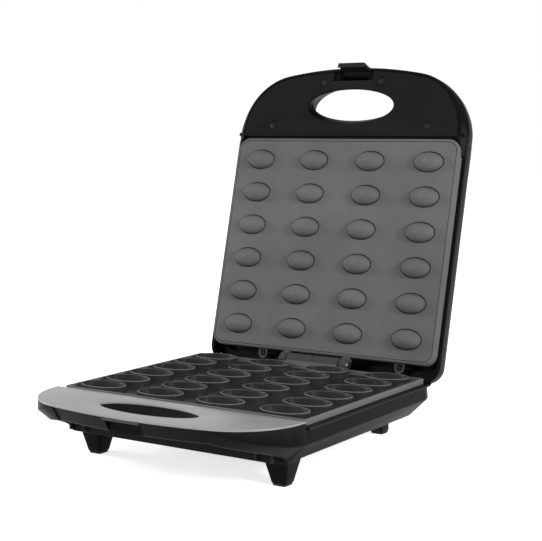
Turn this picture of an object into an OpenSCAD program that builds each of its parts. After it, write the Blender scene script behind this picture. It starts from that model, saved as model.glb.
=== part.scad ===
// Filled-nut cookie maker: 24 oval cups in the base plate, 24 domes in the lid plate.
// Origin: centre of the open machine's box in X and Y, on the surface that it stands on.
// X runs left to right, Y front (handles) to back (hinge), Z up. The lid is drawn standing open.
// Inside the modules Y is measured from the middle of the cup grid, and the lid is built closed.

/* [Baking grid] */
// Columns of cups, left to right
cols = 4; // [3:1:5]
// Rows of cups, front to back
rows = 6; // [4:1:7]
// Distance between columns
col_pitch = 60; // [54:1:70]
// Distance between rows
row_pitch = 32.1; // [31:0.1:38]
// Cup length over the rim
cup_l = 43; // [38:0.5:46]
// Cup width over the rim
cup_w = 29; // [26:0.5:30]
// Depth of the bowl below the rim
cup_depth = 13; // [11:0.5:14]
// Metal below the deepest point of the bowl
cup_base = 2.4; // [2:0.1:3]
// Height of the rim above the plate's floor
rim_h = 5.7; // [4.5:0.1:7]
// Width of the rounded rim
rim_t = 2; // [1.6:0.1:2.6]
// Dome length
dome_l = 29.5; // [25:0.5:32]
// Dome width
dome_w = 18.6; // [15:0.2:20]
// Dome height
dome_h = 8; // [6:0.5:9]

/* [Plates] */
// Height of the cup rims above the table
rim_z = 57.3; // [56:0.1:60]
// Gap between the rims and the closed upper plate
plate_gap = 0.43; // [0.3:0.01:1]
// Plate beyond the outermost cups, left and right
side_margin = 7.5; // [6:0.5:12]
// Lower plate beyond the outermost cups, front and back
lower_margin = 1.5; // [1:0.5:3]
// Upper plate beyond the outermost domes' cups, front and back
upper_margin = 7; // [6:0.5:8]
// Thickness of the cast plates
web_t = 3; // [2.5:0.1:3.5]
// Lower plate's border above its floor
lip_h = 3.9; // [3:0.1:4.5]
// Width of that border
lip_w = 3; // [2.4:0.1:4]
// Height of the lower plate's side flange
lower_skirt_h = 10; // [9:0.5:12]
// Height of the upper plate's side flange
upper_skirt_h = 9; // [8:0.5:10]
// Corner radius of the upper plate
upper_corner_r = 12; // [8:1:16]

/* [Base housing] */
// Wall of the mouldings
wall = 3.4; // [2.8:0.1:4]
// Clearance between a plate and the housing around it
fit_gap = 0.6; // [0.4:0.1:1]
// From the lower plate's front edge to the front of the handle
handle_len = 72.6; // [68:0.5:80]
// Front handle's top above the table
handle_top_z = 55.6; // [54.5:0.1:56]
// Top of the tub's side walls above the table
tub_top_z = 51.3; // [50:0.1:52]
// Height of the crease between the side band and the bevel
crease_z = 38.1; // [36:0.1:40]
// Underside of the housing above the table
floor_z = 22; // [20:0.5:24]
// Slant of the side walls: how far the top lies inside the crease
draft = 1.5; // [1:0.1:2]
// Bead around the tub's top edge: how far it stands out
bead = 2.5; // [1.5:0.1:3]
// Corner radius at the back
rear_r = 24; // [20:1:30]
// Corner radius at the front of the handle
front_r = 60; // [50:1:66]
// Radius of the handle's front edge
bow_r = 390; // [340:5:450]
// Height of the slanted skirt under the handle
skirt_drop = 12; // [10:0.5:14]

/* [Handles] */
// Length of the oval grip opening, left to right
grip_l = 93; // [84:1:100]
// Width of the grip opening, front to back
grip_w = 33; // [30:0.5:36]
// Thickness of the base handle's gloss cover
cover_t = 1.6; // [1.2:0.1:2]
// Thickness of the lid handle's inner cover
panel_t = 3; // [2.6:0.1:3.4]
// Front cover screws beside the latch lever
screw_side = 15.9; // [14:0.1:18]
// Front cover screws behind the handle's tip
screw_front = 13.1; // [10:0.1:15]
// Rear cover screws beside the grip opening
screw_out = 36.9; // [30:0.1:42]
// Rear cover screws in front of the split line
screw_back = 8.6; // [7:0.1:12]

/* [Lid] */
// Angle between the closed and the fully open lid
lid_open = 104.25; // [95:0.25:110]
// Height of the lid over the plates
lid_h = 33.3; // [32:0.1:38]
// Height of the lid's handle
lid_handle_h = 26; // [25:0.5:28]
// Rise of the lid's rim above the upper plate's face
rim_rise = 6; // [5.5:0.1:6.5]
// Corner radius at the lid's heel
heel_r = 17; // [14:0.5:20]

/* [Hinge] */
// Hinge axis behind the lower plate's rear edge
hinge_back = 12.8; // [12.4:0.1:14]
// Hinge axis below the cup rims
hinge_drop = 1.07; // [0.8:0.01:1.3]
// Outside radius of barrel and knuckles
barrel_r = 6; // [5.4:0.1:6.2]
// Length of the middle barrel
barrel_l = 54.6; // [50:0.2:66]
// Width of each knuckle
knuckle_w = 6.8; // [6:0.1:11]
// Gap between the barrel and each knuckle
hinge_gap = 1.2; // [0.4:0.1:2]
// Radius of the steel hinge pin
pin_r = 2; // [1.6:0.1:2.4]
// Left plate tab from the middle
tab_left = 64; // [56:0.5:80]
// Right plate tab from the middle
tab_right = 82; // [56:0.5:88]
// Screw holes of the tabs behind the upper plate's edge
tab_out = 3.6; // [3.4:0.1:5]
// Lid's heel wall behind the hinge axis, measured closed
heel_out = 9; // [8.8:0.1:10]

/* [Latch] */
// Width of the latch lever
latch_w = 29; // [24:1:31]
// Thickness of its arm
latch_t = 2.2; // [2:0.1:2.6]
// Angle between hooked and released
latch_swing = 8.5; // [8:0.5:12]
// Radius of the latch's pivot pin
latch_pin_r = 1.5; // [1.2:0.1:1.8]

/* [Heating] */
// Radius of the tubular heating elements
element_r = 3.2; // [3:0.1:3.4]
// Bend radius of the elements
element_bend = 12; // [10:0.5:14]
// Sheet thickness of the reflector trays
sheet = 0.8; // [0.6:0.1:1]

/* [Feet] */
// Size of a front foot at its top, left to right
foot_top = 22; // [20:0.5:24]
// Size of a foot where it stands
foot_tip = 13; // [12:0.5:15]
// Distance of the front feet from the middle, left and right
front_foot_x = 91.5; // [85:0.5:94]
// Distance of the rear feet from the middle, left and right
rear_foot_x = 71; // [60:0.5:80]

/* [Hidden] */
$fn = 96;
eps = 0.01;
// Running clearance of a pin in its bore, and the seat that parts rest on face to face
run = 0.05;
side_gap = 0.3;
black = [0.03, 0.03, 0.03];
gloss = [0.10, 0.10, 0.105];
coated = [0.13, 0.13, 0.13];
steel = [0.62, 0.62, 0.60];

// Grid and plates
cup_x = (cols - 1) / 2 * col_pitch;
cup_y = (rows - 1) / 2 * row_pitch;
plate_x = cup_x + cup_l / 2 + side_margin;
lower_y = cup_y + cup_w / 2 + lower_margin;
upper_y = cup_y + cup_w / 2 + upper_margin;
floor_top = rim_z - rim_h;
web_z = floor_top - web_t;
lip_z = floor_top + lip_h;
face_z = rim_z + plate_gap;
back_z = face_z + web_t;
upper_skirt_z = face_z + upper_skirt_h;

// Hinge
hinge_y = lower_y + hinge_back;
hinge_z = rim_z - hinge_drop;
knuckle_x = barrel_l / 2 + hinge_gap;
pin_x = knuckle_x + knuckle_w + 1.4;

// Housing
house_x = plate_x + fit_gap + wall;
heel_y = hinge_y + heel_out;
heel_rise = face_z + rim_rise - hinge_z;
stop_y = heel_out * cos(lid_open) + heel_rise * sin(lid_open);
rear_y = hinge_y + stop_y - 0.35;
front_y = -lower_y - handle_len;
handle_back_y = -lower_y - 5;
bevel = crease_z - floor_z;
rear_wall = 2.6;
ledge_z = floor_top - lower_skirt_h + lip_h - 0.3;
cup_floor_z = rim_z - cup_depth - cup_base;
post_top_z = cup_floor_z - 2 * element_r - 3;
pan_floor_z = floor_z + 2.5;
grip_y = front_y + 36;

// Lid
lid_x = house_x;
lid_front_y = front_y - 0.8;
lid_handle_x = house_x - 6;
lid_split_y = -upper_y - fit_gap - wall;
lid_rim_z = face_z + rim_rise;
lid_top_z = face_z + lid_h;
panel_z = face_z + 0.2;
lid_wall = 3;

// Reflector posts stand where a gap between columns crosses a gap between rows
post_x = col_pitch / 2 + (cols > 3 ? col_pitch / 2 : 0);
post_y = row_pitch * (rows % 2 == 0 ? 1 : 1.5);
posts = [for (sx = [-1, 1]) for (sy = [-1, 1]) [sx * gap_x(post_x), sy * gap_y(post_y)]];

function gap_x(x) = (round(x / col_pitch + cols / 2) - cols / 2) * col_pitch;
function gap_y(y) = (round(y / row_pitch + rows / 2) - rows / 2) * row_pitch;

// ---------- outlines and lofts ----------

// Stations of a rounded outline, counter-clockwise from the right: [centre, angle, share, skirt].
// share runs from 0 at the side to 1 where the corner meets the bowed front edge.
function bow_angle(hw, rf) = asin((hw - rf) / (bow_r - rf));
function bow_centre(hw, yf, rf) = yf + bow_r - sqrt(pow(bow_r - rf, 2) - pow(hw - rf, 2));
function stations(hw, yf, yb, rf, rb) =
    let (b = bow_angle(hw, rf), cy = bow_centre(hw, yf, rf), cx = hw - rf, seam = 0.12)
    concat(
        [for (a = [0 : 15 : 90]) [[hw - rb, yb - rb], a, rb, 0, 0]],
        [for (a = [90 : 15 : 180]) [[rb - hw, yb - rb], a, rb, 0, 0]],
        [for (k = [0 : 12]) [[-cx, cy], 180 + (90 - b) * k / 12, rf, k / 12, 0]],
        [for (k = [0 : 12]) [[0, yf + bow_r], 270 + (b - seam) * (k / 6 - 1), bow_r, 1, 1]],
        [for (k = [12 : -1 : 0]) [[cx, cy], 360 - (90 - b) * k / 12, rf, k / 12, 0]]
    );
function box_stations(hw, yf, yb, rf, rb) = concat(
    [for (a = [0 : 15 : 90]) [[hw - rb, yb - rb], a, rb, 0, 0]],
    [for (a = [90 : 15 : 180]) [[rb - hw, yb - rb], a, rb, 0, 0]],
    [for (a = [180 : 15 : 270]) [[rf - hw, yf + rf], a, rf, 0, 0]],
    [for (a = [270 : 15 : 360]) [[hw - rf, yf + rf], a, rf, 0, 0]]
);
function at(s, inset, z) =
    [s[0][0] + (s[2] - inset) * cos(s[1]), s[0][1] + (s[2] - inset) * sin(s[1]), z];

// Closed solid through rings of equal length, first ring lowest or innermost, last ring on top
module loft(rings) {
    n = len(rings[0]);
    m = len(rings);
    points = [for (r = rings) each r];
    sides = [for (r = [0 : m - 2]) for (k = [0 : n - 1])
        let (a = r * n + k, b = r * n + (k + 1) % n, c = a + n, d = b + n)
        each [[a, c, d], [a, d, b]]];
    caps = [[for (k = [0 : n - 1]) k], [for (k = [n - 1 : -1 : 0]) (m - 1) * n + k]];
    polyhedron(points, concat(sides, caps), convexity = 6);
}

// The handle's outline in the plane: a bowed front edge that runs smoothly into both corners
module bow_outline(hw, yf, yb, rf, inset = 0) {
    b = bow_angle(hw, rf);
    cy = bow_centre(hw, yf, rf);
    intersection() {
        translate([0, yf + bow_r])
            circle(r = bow_r - inset, $fn = 360);
        union() {
            for (s = [-1, 1])
                translate([s * (hw - rf), cy])
                    circle(r = rf - inset);
            translate([-hw + inset, cy])
                square([2 * (hw - inset), yb - cy]);
            translate([-(hw - rf) - rf * sin(b), yf - 1])
                square([2 * (hw - rf + rf * sin(b)), cy - yf + 2]);
        }
        translate([-2 * hw, yf - 1])
            square([4 * hw, yb - yf + 1]);
    }
}

// Rounded rectangle with its own front and back corner radius
module round_rect(hw, y0, y1, r0, r1) {
    for (s = [-1, 1]) {
        translate([s * (hw - r0), y0 + r0])
            circle(r = r0);
        translate([s * (hw - r1), y1 - r1])
            circle(r = r1);
    }
    translate([-hw + max(r0, r1), y0])
        square([2 * (hw - max(r0, r1)), y1 - y0]);
    translate([-hw, y0 + r0])
        square([2 * hw, y1 - y0 - r0 - r1]);
    translate([-hw + r1, y0 + r0])
        square([2 * (hw - r1), y1 - y0 - r0]);
    translate([-hw + r0, y0])
        square([2 * (hw - r0), y1 - y0 - r1]);
}

module prism(z0, z1) {
    translate([0, 0, z0])
        linear_extrude(z1 - z0)
            children();
}

// Elliptical cylinder
module oval(l, w, z0, z1) {
    translate([0, 0, z0])
        scale([l / w, 1, 1])
            cylinder(d = w, h = z1 - z0);
}

module rod(p, r, z0, z1) {
    translate([p[0], p[1], z0])
        cylinder(r = r, h = z1 - z0, $fn = 48);
}

// Cylinder along X from x0 to x1
module x_rod(x0, x1, r) {
    translate([x0, 0, 0])
        rotate([0, 90, 0])
            cylinder(r = r, h = x1 - x0, $fn = 64);
}

module at_grid() {
    for (i = [0 : cols - 1], j = [0 : rows - 1])
        translate([i * col_pitch - cup_x, j * row_pitch - cup_y, 0])
            children();
}

// ---------- placing ----------

// The lid's handle is thickest where it leaves the body, and thins towards its tip
function thicker(from_tip) = 1 + 0.22 * from_tip / 64;

// Farthest point behind the hinge that the open lid's handle reaches
lid_rings = [[0, 0], [5, 0.1], [8, 0.3], [16, 2], [22, 7], [25, 16], [lid_handle_h, 30]];
lid_reach = max([for (r = lid_rings)
    (hinge_y - lid_front_y - r[1]) * -cos(lid_open)
        + (panel_z + r[0] * thicker(r[1]) - hinge_z) * sin(lid_open)]);
grid_y = -(hinge_y + lid_reach + front_y + draft) / 2;

module in_base() {
    translate([0, grid_y, 0])
        children();
}

module in_lid() {
    translate([0, grid_y + hinge_y, hinge_z])
        rotate([-lid_open, 0, 0])
            translate([0, -hinge_y, -hinge_z])
                children();
}

latch_y = lid_front_y + 4.6;
latch_z = panel_z + 9;

module in_latch() {
    in_lid()
        translate([0, latch_y, latch_z])
            rotate([-latch_swing, 0, 0])
                children();
}

// ---------- base ----------

// Height of the crease: level along the sides, sweeping up the front corners to the handle's edge
function crease_at(s) = crease_z + (handle_top_z - cover_t - 0.2 - crease_z) * pow(s[3], 1.4);
function edge_at(s) = floor_z + (handle_top_z - cover_t - skirt_drop - floor_z) * pow(s[3], 0.6);

module base_body() {
    st = stations(house_x, front_y, rear_y, front_r, rear_r);
    recess = 1.2;
    top = handle_top_z - cover_t;
    loft([
        [for (s = st) at(s, 22 + s[3] * 8, top - skirt_drop + 1)],
        [for (s = st) at(s, bevel + 4 - s[3] * 7, edge_at(s))],
        [for (s = st) at(s, bevel - s[3] * (bevel - draft - 6.6) + s[4] * recess, edge_at(s))],
        [for (s = st) at(s, draft * (1 - pow(1 - s[3], 3)) + s[4] * recess, crease_at(s))],
        [for (s = st) at(s, draft, top)]
    ]);
}

module base_housing() {
    color(black)
    in_base()
    difference() {
        union() {
            base_body();
            prism(floor_z - 0.3, crease_z)
                round_rect(house_x - bevel - 1, -lower_y - 13, rear_y - bevel - 1, 10, rear_r - bevel);
            // bead around the tub's open edge
            prism(tub_top_z - 2.2, tub_top_z)
                intersection() {
                    round_rect(house_x + bead, handle_back_y - 60, rear_y + 1.6, 10, rear_r + bead);
                    translate([-2 * house_x, handle_back_y])
                        square([4 * house_x, 400]);
                }
            for (s = [-1, 1])
                translate([s * front_foot_x, -front_foot_y, 0])
                    foot_ribs();
            translate([0, rear_y - bevel, inlet_z])
                rotate([-90, 0, 0])
                    cylinder(r = inlet_r + 3, h = bevel + 0.5, $fn = 64);
        }
        // open side of the tub, above its rim
        translate([-house_x - 5, handle_back_y, tub_top_z])
            cube([2 * house_x + 10, 300, 20]);
        // seat of the lower plate and the space below it
        prism(ledge_z, tub_top_z + 5)
            round_rect(plate_x + fit_gap, -lower_y - fit_gap, rear_y - rear_wall, 3, rear_r - rear_wall);
        prism(post_top_z - 0.5, ledge_z + 5)
            round_rect(cup_x + cup_l / 2 + 0.8, -cup_y - cup_w / 2 - 0.6, rear_y - 10, 1, rear_r - 10);
        prism(pan_floor_z, ledge_z)
            round_rect(house_x - 20, -lower_y + 4, rear_y - 18, 6, 6);
        // room for the hinge barrel in the rear wall
        translate([-pin_x - 1.5, rear_y - 8, hinge_z - barrel_r - 1.2])
            cube([2 * pin_x + 3, 20, 20]);
        translate([0, grip_y, 0])
            oval(grip_l, grip_w, floor_z, handle_top_z + 1);
        // notch for the latch in the handle's skirt
        translate([-latch_w / 2 - 3, front_y - 5, handle_top_z - cover_t - skirt_drop - 4])
            cube([latch_w + 6, notch_depth + 5, skirt_drop + 6]);
        translate([0, rear_y - 30, inlet_z])
            rotate([-90, 0, 0])
                cylinder(r = inlet_r + run, h = 40, $fn = 64);
        for (p = posts) {
            rod(p, 3.6, floor_z - 1, floor_z + 1.7);
            rod(p, 1.9, floor_z - 1, post_top_z + 1);
        }
    }
    color(black)
    in_base()
    for (p = posts)
        difference() {
            rod(p, 4.6, pan_floor_z - 0.4, post_top_z);
            rod(p, 1.9, 0, post_top_z + 1);
            rod(p, 3.6, 0, floor_z + 1.7);
        }
}
front_foot_y = lower_y - 10.5;
notch_depth = 10;
inlet_z = 31;
inlet_r = 5;

// Two upright ribs on each side of a front foot
module foot_ribs() {
    for (s = [-1, 1])
        translate([s * 7.2 - 1, -foot_top / 2 - 10, floor_z])
            cube([2, 12, crease_z - floor_z + 3]);
}

module base_handle_cover() {
    color(gloss)
    in_base()
    difference() {
        prism(handle_top_z - cover_t, handle_top_z)
            bow_outline(house_x, front_y, handle_back_y - eps, front_r, draft);
        translate([0, grip_y, 0])
            oval(grip_l, grip_w, handle_top_z - 5, handle_top_z + 1);
    }
}

// One cup from outside: an upright oval wall down to the cup's flat underside
module cup_outside() {
    translate([0, 0, -cup_depth - cup_base])
        linear_extrude(cup_depth + cup_base)
            scale([cup_l / cup_w, 1])
                circle(d = cup_w);
}

module bowl() {
    r = cup_w / 2 - rim_t;
    k = (cup_l / 2 - rim_t) / r;
    translate([0, 0, rim_z])
        scale([k, 1, cup_depth / r])
            sphere(r = r);
}

module lower_plate() {
    color(coated)
    in_base()
    difference() {
        union() {
            difference() {
                prism(lip_z - lower_skirt_h, lip_z)
                    round_rect(plate_x, -lower_y, lower_y, 3, 3);
                prism(floor_top, lip_z + 1)
                    round_rect(plate_x - lip_w, -lower_y + 1, lower_y - 1, 2, 2);
                prism(lip_z - lower_skirt_h - 1, web_z)
                    round_rect(plate_x - 2.4, -lower_y + 1, lower_y - 1, 2, 2);
            }
            translate([0, 0, rim_z])
                at_grid()
                    cup_outside();
            for (p = posts)
                rod(p, 4, post_top_z + sheet, web_z + 1);
            translate([0, hinge_y, hinge_z]) {
                x_rod(-barrel_l / 2, barrel_l / 2, barrel_r);
                translate([barrel_l / 2, 0, 0])
                    rotate([0, -90, 0])
                        linear_extrude(barrel_l)
                            polygon([[-8, -hinge_back - 0.7], [-2, -hinge_back - 0.7], [1, -5],
                                [0, 0], [-5.4, -1]]);
            }
        }
        at_grid()
            bowl();
        for (p = posts)
            rod(p, 1.45, post_top_z, web_z + 0.6);
        translate([0, hinge_y, hinge_z])
            x_rod(-barrel_l / 2 - 1, barrel_l / 2 + 1, pin_r + run);
    }
}

// ---------- heating ----------

// Tube bent to a rectangle, with its ends turned off the plate.
// Below, it runs across the middles of the cups; above, it runs round between the domes.
low_x = cup_x;
low_y = cup_y - row_pitch;
up_x = plate_x - 9.5;
up_y = cup_y - row_pitch / 2;
tail_x = 14;
tail_h = 6;

module quarter(c, a) {
    translate(c)
        rotate([0, 0, a])
            rotate_extrude(angle = 90, $fn = 64)
                translate([element_bend, 0])
                    circle(r = element_r, $fn = 32);
}

module element(run_x, run_y) {
    e = element_bend;
    quarter([run_x - e, run_y - e, 0], 0);
    quarter([-run_x + e, run_y - e, 0], 90);
    quarter([-run_x + e, -run_y + e, 0], 180);
    quarter([run_x - e, -run_y + e, 0], 270);
    for (s = [-1, 1]) {
        translate([s * run_x, -run_y + e, 0])
            rotate([-90, 0, 0])
                cylinder(r = element_r, h = 2 * (run_y - e), $fn = 32);
        translate([0, run_y, 0])
            x_rod(min(s * tail_x, s * (run_x - e)), max(s * tail_x, s * (run_x - e)), element_r);
    }
    translate([0, -run_y, 0])
        x_rod(-run_x + e, run_x - e, element_r);
    // cold ends with their terminal pins
    for (s = [-1, 1])
        translate([s * tail_x, run_y, 0]) {
            sphere(r = element_r, $fn = 32);
            cylinder(r = element_r, h = tail_h, $fn = 32);
            cylinder(r = 1.2, h = tail_h + 3, $fn = 32);
        }
}

// Saddle clip that holds a tube against the plate: a strap bent over it and two flat feet
module clip() {
    t = 0.8;
    rotate([90, 0, 90])
        translate([0, 0, -4])
            linear_extrude(8)
                difference() {
                    union() {
                        circle(r = element_r + side_gap / 3 + t, $fn = 48);
                        translate([-element_r - t - side_gap / 3, -element_r])
                            square([2 * (element_r + t + side_gap / 3), element_r]);
                        translate([-7.5, -element_r])
                            square([15, t]);
                    }
                    circle(r = element_r + side_gap / 3, $fn = 48);
                    translate([-element_r - side_gap / 3, -element_r - 1])
                        square([2 * (element_r + side_gap / 3), element_r + 1]);
                    translate([-10, -element_r - 5])
                        square([20, 5]);
                }
}

module clips(x, y) {
    for (sx = [-1, 1], sy = [-1, 1])
        translate([sx * x, sy * y, 0])
            clip();
}

module lower_heating_element() {
    color(steel)
    in_base()
    translate([0, 0, cup_floor_z - element_r])
        mirror([0, 0, 1])
            element(low_x, low_y);
}

module lower_element_clips() {
    color(steel)
    in_base()
    translate([0, 0, cup_floor_z - element_r])
        mirror([0, 0, 1])
            clips(cup_x - col_pitch, low_y);
}

module upper_heating_element() {
    color(steel)
    in_lid()
    translate([0, 0, back_z + element_r])
        element(up_x, up_y);
}

module upper_element_clips() {
    color(steel)
    in_lid()
    translate([0, 0, back_z + element_r])
        clips(gap_x(cup_x - col_pitch / 2), up_y);
}

// Shallow tray with an upturned edge, holes for the posts and for the element's ends
module tray(z, hy, tail_y) {
    hx = up_x - element_r - 0.6;
    difference() {
        prism(z, z + 4)
            round_rect(hx, -hy, hy, 8, 8);
        prism(z + sheet, z + 5)
            round_rect(hx - sheet, -hy + sheet, hy - sheet, 8 - sheet, 8 - sheet);
        for (p = posts)
            rod(p, 1.9, z - 1, z + 2);
        for (s = [-1, 1])
            rod([s * tail_x, tail_y], element_r + 1, z - 1, z + 2);
    }
}

module lower_reflector() {
    color(steel)
    in_base()
    tray(post_top_z, lower_y - 4.5, low_y);
}

module upper_reflector() {
    color(steel)
    in_lid()
    translate([0, 0, 2 * upper_tray_z + sheet])
        mirror([0, 0, 1])
            tray(upper_tray_z, upper_y - 10, up_y);
}
upper_tray_z = back_z + 2 * element_r + 2.6;

// Disc thermostat pressed to the plate's underside, with its two blade terminals
module thermostat() {
    color(steel)
    in_base()
    translate([0, 0, web_z]) {
        translate([0, 0, -3])
            cylinder(r = 8, h = 3, $fn = 48);
        translate([0, 0, -7])
            cylinder(r = 6.6, h = 4 + eps, $fn = 48);
        for (s = [-1, 1])
            translate([s * 4 - 0.4, -3.2, -10.5])
                cube([0.8, 6.4, 4]);
    }
}

// Thermal cut-out in its sleeve, lying in a clip against the plate
module thermal_fuse() {
    color([0.85, 0.84, 0.8])
    in_base()
    translate([gap_x(col_pitch), 0, web_z - 2.6]) {
        rotate([90, 0, 0])
            translate([0, 0, -8])
                cylinder(r = 2.6, h = 16, $fn = 32);
        for (s = [-1, 1])
            rotate([90 * s, 0, 0])
                cylinder(r = 0.6, h = 13, $fn = 24);
    }
}

module terminal_block() {
    color([0.85, 0.84, 0.8])
    in_base()
    translate([0, lower_y - 26, pan_floor_z])
        difference() {
            translate([-16, -7, 0])
                cube([32, 14, 7]);
            for (x = [-10, 0, 10]) {
                translate([x, -8, 3.6])
                    rotate([-90, 0, 0])
                        cylinder(r = 1.7, h = 16, $fn = 32);
                translate([x, 0, 3.6])
                    cylinder(r = 1.5, h = 5, $fn = 32);
            }
        }
}

// Bushing where the mains lead would leave the rear of the tub
module cord_inlet_bushing() {
    color(black)
    in_base()
    translate([0, rear_y + 0.5, inlet_z])
        rotate([-90, 0, 0])
            difference() {
                union() {
                    translate([0, 0, -19])
                        cylinder(r = inlet_r, h = 19, $fn = 64);
                    cylinder(r = inlet_r + 1.8, h = 2, $fn = 64);
                    translate([0, 0, 2 - eps])
                        cylinder(r1 = inlet_r + 0.6, r2 = inlet_r - 0.6, h = 6, $fn = 64);
                }
                translate([0, 0, -20])
                    cylinder(r = 3.2, h = 40, $fn = 48);
            }
}

// ---------- feet ----------

// Tapered foot: a four-sided boot, wide at the housing and small where it stands
module boot(x_top, y_top, h, lean) {
    hull() {
        translate([0, lean, pad_t])
            linear_extrude(eps)
                round_rect(foot_tip / 2, -foot_tip / 2, foot_tip / 2, 2, 2, $fn = 32);
        translate([0, 0, h - eps])
            linear_extrude(eps)
                round_rect(x_top / 2, -y_top / 2, y_top / 2, 2.5, 2.5, $fn = 32);
    }
}
pad_t = 1.5;
rear_foot_y = rear_y - 13;
rear_lean = 12;

module front_feet() {
    color(black)
    in_base()
    for (s = [-1, 1])
        translate([s * front_foot_x, -front_foot_y, 0])
            boot(foot_top, foot_top + 2, floor_z - 0.3, 0);
}

module rear_feet() {
    color(black)
    in_base()
    for (s = [-1, 1])
        translate([s * rear_foot_x, rear_foot_y - 8, 0])
            boot(foot_top, foot_top, floor_z - 0.3, rear_lean);
}

module foot_pads() {
    color([0.02, 0.02, 0.02])
    in_base()
    for (s = [-1, 1]) {
        translate([s * front_foot_x, -front_foot_y, 0])
            prism(0, pad_t)
                round_rect(foot_tip / 2 - 0.6, -foot_tip / 2 + 0.6, foot_tip / 2 - 0.6, 2, 2);
        translate([s * rear_foot_x, rear_foot_y - 8 + rear_lean, 0])
            prism(0, pad_t)
                round_rect(foot_tip / 2 - 0.6, -foot_tip / 2 + 0.6, foot_tip / 2 - 0.6, 2, 2);
    }
}

// Pan-head screw pointing up, head at z, with a cross recess left to its finish
module screw(p, z, head_r, head_t, r, l) {
    translate([p[0], p[1], z]) {
        cylinder(r = head_r, h = head_t, $fn = 48);
        cylinder(r = r, h = head_t + l, $fn = 48);
    }
}

module base_screws() {
    color(steel)
    in_base()
    for (p = posts)
        screw(p, floor_z + 0.1, 3.2, 1.6, 1.4, web_z - floor_z - 3);
}

// Steel catch across the notch in the handle's skirt, for the latch's hook
module latch_catch() {
    color(steel)
    in_base()
    translate([-latch_w / 2 - 3, front_y + draft, catch_z])
        cube([latch_w + 6, notch_depth - draft, handle_top_z - cover_t - catch_z]);
}
catch_z = handle_top_z - cover_t - 2;

// ---------- hinge ----------

module hinge_pin() {
    color(steel)
    in_base()
    translate([0, hinge_y, hinge_z]) {
        x_rod(-pin_x + 1.4, pin_x, pin_r);
        x_rod(-pin_x, -pin_x + 1.4 - side_gap / 2, pin_r + 1.4);
    }
}

module hinge_pin_clip() {
    color(steel)
    in_base()
    translate([pin_x - 1.2 + side_gap / 2, hinge_y, hinge_z])
        difference() {
            x_rod(0, 0.8, pin_r + 1.8);
            x_rod(-1, 2, pin_r);
        }
}

// ---------- lid ----------

module lid_body() {
    st = box_stations(lid_x, lid_split_y, heel_y, 8, heel_r);
    h = lid_top_z - lid_rim_z;
    // [height, inset] of the shell's outside, from the rim over the shoulder to the crown
    profile = [[0, 0], [0.3 * h, 0.7], [0.55 * h, 2.6], [0.75 * h, 6.5], [0.9 * h, 14], [h, 32]];
    loft([for (p = profile) [for (s = st) crown(at(s, min(p[1], 7), lid_rim_z + p[0]), p[1])]]);
}

// Beyond what the front corners' radius allows, a ring of the crown shrinks towards the middle instead
function crown(q, inset) = let (k = 1 - max(0, inset - 7) / lid_x) [q[0] * k, mid_y + (q[1] - mid_y) * k, q[2]];
mid_y = (lid_split_y + heel_y) / 2;

module lid_handle() {
    st = stations(lid_handle_x, lid_front_y, lid_split_y + 20, front_r - 4, 2);
    loft([for (p = lid_rings) [for (s = st) let (q = tucked(s, p[1], panel_z))
        flared(q + [0, 0, p[0] * thicker(q[1] - lid_front_y)], s[3])]]);
}

// As at(), but the square back corners, hidden inside the lid, only move inwards
function tucked(s, inset, z) =
    s[1] > 180 ? at(s, inset, z) : at(s, 0, z) - [sign(s[0][0]) * inset, 0, 0];

// The handle's sides widen towards the lid's as they leave the panel, most where they meet the lid
function flared(q, share) =
    let (out = (1 - share) * min(1, (q[2] - panel_z) / rim_rise) * (lid_x - lid_handle_x - 0.2))
    [q[0] * (1 + out / lid_handle_x), q[1], q[2]];

// Tunnel through the lid's handle: leans towards the tip, then flares for the fingers
module grip_tunnel() {
    l = grip_l / 2;
    w = grip_w / 2;
    loft([for (r = [[-3, 0, 0, 0], [panel_t, 0, 0, 0], [11, -0.5, -0.5, -4.5], [17, 3.5, 3, -4.5], [lid_h, 9, 8, -4]])
        [for (k = [0 : 59]) [(l + r[1]) * cos(6 * k), grip_y + r[3] + (w + r[2]) * sin(6 * k), panel_z + r[0]]]]);
}

cover_screw_at = [for (s = [-1, 1]) each [
    [s * (latch_w / 2 + screw_side), lid_front_y + screw_front],
    [s * (grip_l / 2 + screw_out), lid_split_y - screw_back]]];
tab_at = [[-tab_left, upper_y + tab_out], [tab_right, upper_y + tab_out]];
lamp_at = [[-11, lid_split_y + 42], [11, lid_split_y + 42]];
lamp_r = 4;

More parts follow.
